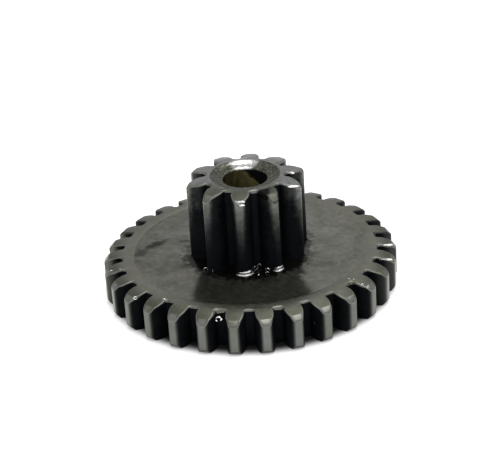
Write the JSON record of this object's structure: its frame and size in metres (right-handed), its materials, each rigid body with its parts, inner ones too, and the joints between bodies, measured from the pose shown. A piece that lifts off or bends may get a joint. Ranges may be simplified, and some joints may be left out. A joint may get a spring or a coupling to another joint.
{
  "type": "double gear",
  "caption": "Compound spur gear in one piece: a broad toothed wheel with a smaller, taller pinion on top and a plain bore with a countersunk mouth.",
  "frame": {"origin": "on the bore's axis at the wheel's underside", "axes": "+Z along the bore axis, from the wheel up to the pinion's end; one tooth of each gear is centred on -Y"},
  "size_m": [0.0256, 0.0256, 0.0104],
  "materials": {
    "dark_steel": "dark oiled steel, satin turned faces and darker cut flanks"
  },
  "bodies": {
    "root": {"double_gear": "dark_steel"}
  },
  "joints": []
}
